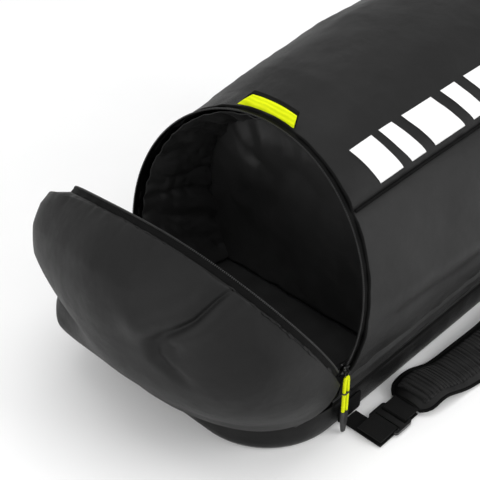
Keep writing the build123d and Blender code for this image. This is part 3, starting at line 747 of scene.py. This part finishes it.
def gusset():
    """The dark lower wall, rounded under at the floor, and the base sheet inside it."""
    # each row: how far it is set in, and its height
    profile = ((0.060, 0.0006), (0.022, 0.0006), (0.010, 0.0016), (0.004, 0.006), (0.0012, 0.013),
               (0.0, 0.022), (0.0, 0.032), (0.0008, 0.040), (0.0022, 0.0445))
    g = np.array([plan_ring(inset, z, 360) for inset, z in profile])
    along = np.roll(g[6], -1, axis=0) - np.roll(g[6], 1, axis=0)
    out = np.stack([along[:, 1], -along[:, 0], 0 * along[:, 0]], 1)
    out /= np.linalg.norm(out, axis=1, keepdims=True)
    for i in range(g.shape[0]):
        for j in range(g.shape[1]):
            x, y, z = g[i, j]
            if z > 0.004:
                pucker = 0.0016 * noise.noise(Vector((x * 38, y * 38, z * 12)))
                slack = 0.0034 * noise.noise(Vector((x * 9, y * 9, z * 22)))
                g[i, j] += out[j] * (pucker + slack - 0.0012) * min(1.0, (z - 0.004) / 0.012)
    faces = grid_faces(*g.shape[:2], False, True)
    o = piece("lower_gusset_fabric", g.reshape(-1, 3), faces, "gusset", None)
    thicken(o, 0.002, 0.0)
    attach(o, "bag")
    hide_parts("lower_gusset")
    disc = plan_ring(0.058, 0.0006, 220)
    o = piece("base_fabric", disc, [tuple(range(len(disc)))], "gusset", None, False)
    thicken(o, 0.0025, 1.0)
    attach(o, "bag")
    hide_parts("base_panel")


def toe_lining():
    """The stiff boot behind the flap: a wall round the toe, from the base up towards the fold line."""
    ring = plan_ring(0.004, 0.0, 260)
    ring = ring[ring[:, 0] < BOOT_END_X]
    ring = ring[np.argsort(np.arctan2(ring[:, 1], -(ring[:, 0] + 0.25)))]
    rows = []
    for q in np.linspace(0, 1, 16):
        row = []
        for x, y, _ in ring:
            top = HINGE[2] + (HINGE[0] - x) * math.tan(BOOT_SLOPE) - 0.002
            z = 0.012 + (top - 0.012) * q
            tuck = 1 - 0.012 * abs(fbm((x, y, z), 14.0, 7.0))
            row.append((x * tuck, y * tuck, z))
        rows.append(row)
    o = sheet_from("toe_boot_fabric", np.array(rows), "gusset", t=0.0016)
    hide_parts("toe_boot")


def racket_zip():
    """The racket compartments' zip round the sides and the rear: two tapes and a coil of separate links."""
    ring = plan_ring(0.001, 0.0, 520)
    ring = ring[ring[:, 0] > RACKET_ZIP_X]
    ring = ring[np.argsort(np.arctan2(ring[:, 1], ring[:, 0] - 0.05))]
    start = int(np.argmax(np.linalg.norm(np.diff(ring[:, :2], axis=0), axis=1))) + 1
    if start < len(ring) and np.linalg.norm(ring[start, :2] - ring[start - 1, :2]) > 0.05:
        ring = np.concatenate([ring[start:], ring[:start]])
    for name, z0, z1, node in (("racket_tape_lower", 0.0425, 0.0497, "racket_zip_lower_tape"),
                               ("racket_tape_upper", 0.0543, 0.0625, "racket_zip_upper_tape")):
        g = np.array([[(x, y, z) for x, y, _ in ring] for z in np.linspace(z0, z1, 4)])
        o = sheet_from(name, g, "tape", t=0.0013)
        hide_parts(node)
    # a link is a ring of four sections: half width, half height, distance out
    sections = ((0.0006, 0.00168, 0.0012), (0.0006, 0.00168, -0.0012), (0.0010, 0.0021, 0.0004),
                (0.0010, 0.0021, -0.0004))
    hull = [(0, 1, 2, 3), (7, 6, 5, 4), (0, 8, 9, 1), (1, 9, 10, 2), (2, 10, 11, 3), (3, 11, 8, 0),
            (8, 12, 13, 9), (9, 13, 14, 10), (10, 14, 15, 11), (11, 15, 12, 8),
            (12, 4, 5, 13), (13, 5, 6, 14), (14, 6, 7, 15), (15, 7, 4, 12)]
    run = run_along(ring)

    def at(t):
        return np.array([np.interp(t, run, ring[:, 0]), np.interp(t, run, ring[:, 1]), RACKET_ZIP_Z])

    verts, faces = [], []
    for k in range(int(run[-1] / TOOTH_PITCH)):
        t = (k + 0.5) * TOOTH_PITCH
        c = at(t)
        ahead = at(t + 0.002) - c
        tan = ahead / max(np.linalg.norm(ahead), 1e-9)
        out = np.array([tan[1], -tan[0], 0])
        s = len(verts)
        for w, h, u in sections:
            for p, q in CORNERS:
                verts.append(c + p * w * tan + np.array([0, 0, q * h]) + u * out)
        faces += [tuple(s + q for q in f) for f in hull]
    o = piece("racket_zip_teeth", verts, faces, "teeth")
    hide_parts("racket_zip_coil")


# ---- shoe compartment lining and upper divider ----------------------------------------------
def pocket():
    """The shoe compartment's lining: a crumpled sleeve round the vault, an inner wall and a floor."""
    c, across, up, nrm = mouth(LEAN)
    rows = []
    for q in np.linspace(0, 1, 80):
        row = []
        for i in range(261):
            a = -DIP - 0.35 + (math.pi + 2 * DIP + 0.7) * i / 260
            pleat = 0.0060 * noise.noise(Vector((a * 8, q * 2, 0))) * math.exp(-q * 3.5)
            drape = noise.noise(Vector((a * 4.5 + q * 1.6, q * 1.1, 4.0)))
            fold = 0.018 * abs(drape) ** 0.8 * min(1, q * 4)
            crinkle = 0.0045 * noise.noise(Vector((a * 13 + q * 4, q * 6, 1.0)))
            r = 0.1945 - 0.010 * q - abs(pleat) - fold - abs(crinkle) * min(1, 0.3 + q * 3)
            p = c + r * (math.cos(a) * across + math.sin(a) * up) + (0.013 + 0.150 * q) * nrm
            row.append((min(p[0], POCKET_X + 0.001), p[1], max(p[2], 0.0105)))
        rows.append(row)
    o = sheet_from("shoe_pocket_taffeta", np.array(rows), "lining", t=0.001)
    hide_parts("shoe_pocket_lining")
    back = []
    for z in 0.011 + 0.323 * np.linspace(0, 1, 44):
        w = 0.182 if z < 0.150 else 0.955 * math.sqrt(max(0.1905**2 - 1.05 * (z - 0.150) ** 2, 0.0001))
        back.append([(POCKET_X - 0.010 * abs(fbm((0, y, z), 9.0, 3.0)), y, z)
                     for y in np.linspace(-w, w, 44)])
    sheet_from("shoe_pocket_back", np.array(back), "lining", t=0.001)
    floor = []
    centre = BOOT_X + CORNER
    for x in np.linspace(-0.391, -0.132, 44):
        w = 0.178 if x > centre else 0.074 + math.sqrt(max(0.104**2 - (x - centre) ** 2, 0))
        floor.append([(x, y, 0.0108 + 0.004 * abs(fbm((x, y, 0), 10.0, 6.0)))
                      for y in np.linspace(-w, w, 40)])
    sheet_from("shoe_pocket_floor", np.array(floor), "lining", t=0.001)


def upper_divider():
    """A foam-cored sheet across the racket compartments, with rounded rear corners."""
    half, x0, x1, corner, z = 0.181, -0.122, 0.350, 0.110, 0.238
    rows = []
    for x in np.linspace(x0, x1, 60):
        back = max(0.0, x - (x1 - corner))
        w = half - corner + math.sqrt(max(corner**2 - back**2, 1e-6))
        rows.append([(x, w * t, z + 0.0010 * fbm((x, w * t, 0), 12.0, 5.0)) for t in np.linspace(-1, 1, 40)])
    o = sheet_from("upper_divider_sheet", np.array(rows), "lining", t=0.006)
    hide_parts("upper_divider")


# ---- pull cords, straps and the pieces that keep their CAD shape ----------------------------
def pull_cord(prefix, strand):
    """One braided cord that comes out of the tip, goes round the link and back into the tip."""
    spread = 0.0031
    lo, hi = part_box(prefix + "_cord")
    cx, cy = (lo.x + hi.x) / 2, (lo.y + hi.y) / 2
    left, right = cx - spread, cx + spread
    # the control points: up one strand, over the link, down the other
    pts = [(left, cy, lo.z), (left, cy, lo.z + strand * 0.3), (cx - spread * 1.12, cy, lo.z + strand * 0.6),
           (left, cy, hi.z - 0.003), (cx - spread * 0.5, cy, hi.z + 0.0012),
           (cx + spread * 0.5, cy, hi.z + 0.0012), (right, cy, hi.z - 0.003),
           (cx + spread * 1.05, cy, lo.z + strand * 0.6), (right, cy, lo.z + strand * 0.3), (right, cy, lo.z)]
    curve = bpy.data.curves.new(prefix + "_braid", "CURVE")
    curve.dimensions = "3D"
    spline = curve.splines.new("NURBS")
    spline.points.add(len(pts) - 1)
    for q, p in zip(spline.points, pts):
        q.co = (*p, 1)
    spline.order_u = 3
    spline.use_endpoint_u = True
    curve.bevel_depth = BRAID / 2
    curve.resolution_u = 12
    curve.bevel_resolution = 5
    curve.use_fill_caps = True
    curve.materials.append(M["neon_cord"])
    o = bpy.data.objects.new(prefix + "_braid", curve)
    bpy.context.scene.collection.objects.link(o)
    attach(o, prefix)
    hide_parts(prefix + "_cord")


def strap(side, sign):
    """A padded shoulder strap that lies bowed on the floor, its inner edge propped up against the bag."""
    n, m, half = 120, 25, 0.033
    top, bottom = [], []
    for i in range(n):
        q = i / (n - 1)
        from_end = min(q, 1 - q)
        x = -0.186 + 0.364 * q
        y = sign * (0.230 + 0.019 * math.sin(math.pi * q) ** 1.6)
        width = half * (1 - 0.35 * max(0, 1 - from_end / 0.05) ** 2)
        lift = 0.0130 * math.exp(-((x + 0.150) / 0.030) ** 2)
        lean = 0.0130 * math.exp(-((q - 0.56) / 0.30) ** 4)
        row_t, row_b = [], []
        for s in np.linspace(-1, 1, m):
            propped = lean * (1 - s * sign) / 2
            crown = 1 - abs(s) ** 3.2
            pinch = 0.0012 * math.exp(-((abs(s) - 0.80) / 0.05) ** 2)
            quilt = 0.0007 * abs(math.sin(q * 16 * math.pi)) ** 6 * (abs(s) < 0.78)
            z = 0.0035 + lift + 0.0098 * crown * min(1, from_end / 0.03 + 0.35) - pinch - quilt
            z += 0.0006 * fbm((x, y + s * half, 0), 25.0, 3.0) + propped
            row_t.append((x, y + s * width, z))
            row_b.append((x, y + s * width, 0.0008 + 0.85 * lift + 0.0027 * abs(s) ** 6 + propped))
        top.append(row_t)
        bottom.append(row_b)
    top, bottom = np.array(top), np.array(bottom)
    g = np.concatenate([top, bottom[:, ::-1]], 1)
    ends = [tuple(range(2 * m))[::-1], tuple((n - 1) * 2 * m + k for k in range(2 * m))]
    faces = grid_faces(n, 2 * m, False, True) + ends
    o = piece(side + "_strap_cushion", g.reshape(-1, 3), faces, "gusset")
    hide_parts(side + "_strap_pad")
    face = top[3:n - 3, 3:m - 3].copy()
    face[..., 2] += 0.0010 + 0.0008 * np.sin(np.arange(3, n - 3) * 2 * math.pi / 3)[:, None]
    o = sheet_from(side + "_strap_air_mesh", face, "mesh", t=0.0008)
    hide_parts(side + "_strap_mesh")
    edge = np.concatenate([top[:, 0], top[-1], top[::-1, -1], top[0, ::-1]])[::2]
    tube(side + "_strap_binding", edge + np.array([0, 0, 0.0005]), 0.0022, "binding", 6, True)


def dress_cad_nodes():
    """Materials for the pieces that keep their CAD shape."""
    keep = {
        "base_board": "board", "lower_divider": "lining", "mouth_zip_end_stops": "metal",
        "mouth_slider": "metal", "rear_handle_webbing": "webbing", "carry_handle_webbing": "webbing",
        "rear_handle_grip": "rubber", "carry_handle_grip": "rubber", "strap_anchor_patches": "binding",
    }
    for side in SIDES:
        keep.update({f"{side}_racket_slider": "metal", f"{side}_ladder_buckle": "plastic",
                     f"{side}_strap_webbing": "webbing", f"{side}_strap_tail": "webbing",
                     f"{side}_strap_anchor_webbing": "webbing"})
    for pull in ("mouth_pull", "near_racket_pull", "far_racket_pull"):
        keep.update({f"{pull}_link": "metal", f"{pull}_band": "rubber", f"{pull}_tip": "rubber"})
    for name, material in keep.items():
        materials = NODES[name].data.materials
        materials.clear()
        materials.append(M[material])


# ---- the bag --------------------------------------------------------------------------------
camera()
studio()

grid, xs = shell_grid()
shell = soften(grid, xs)
on_top = grid[40, :, 2] >= 0.2
j_near = int(np.argmin(np.abs(grid[40, :, 1] + SEAM_Y) + ~on_top))
j_far = RING_STEPS - 1 - j_near
i_rear = int(np.argmin(np.abs(xs - REAR_SEAM_X)))

shell_panels()
piping()
mouth_zip()
end_flap()
gusset()
toe_lining()
pocket()
grab_tab()
racket_zip()
upper_divider()
dress_cad_nodes()
for name, strand in (("mouth_pull", 0.058), ("near_racket_pull", 0.020), ("far_racket_pull", 0.020)):
    pull_cord(name, strand)
for side, sign in SIDES.items():
    strap(side, sign)
white_print()
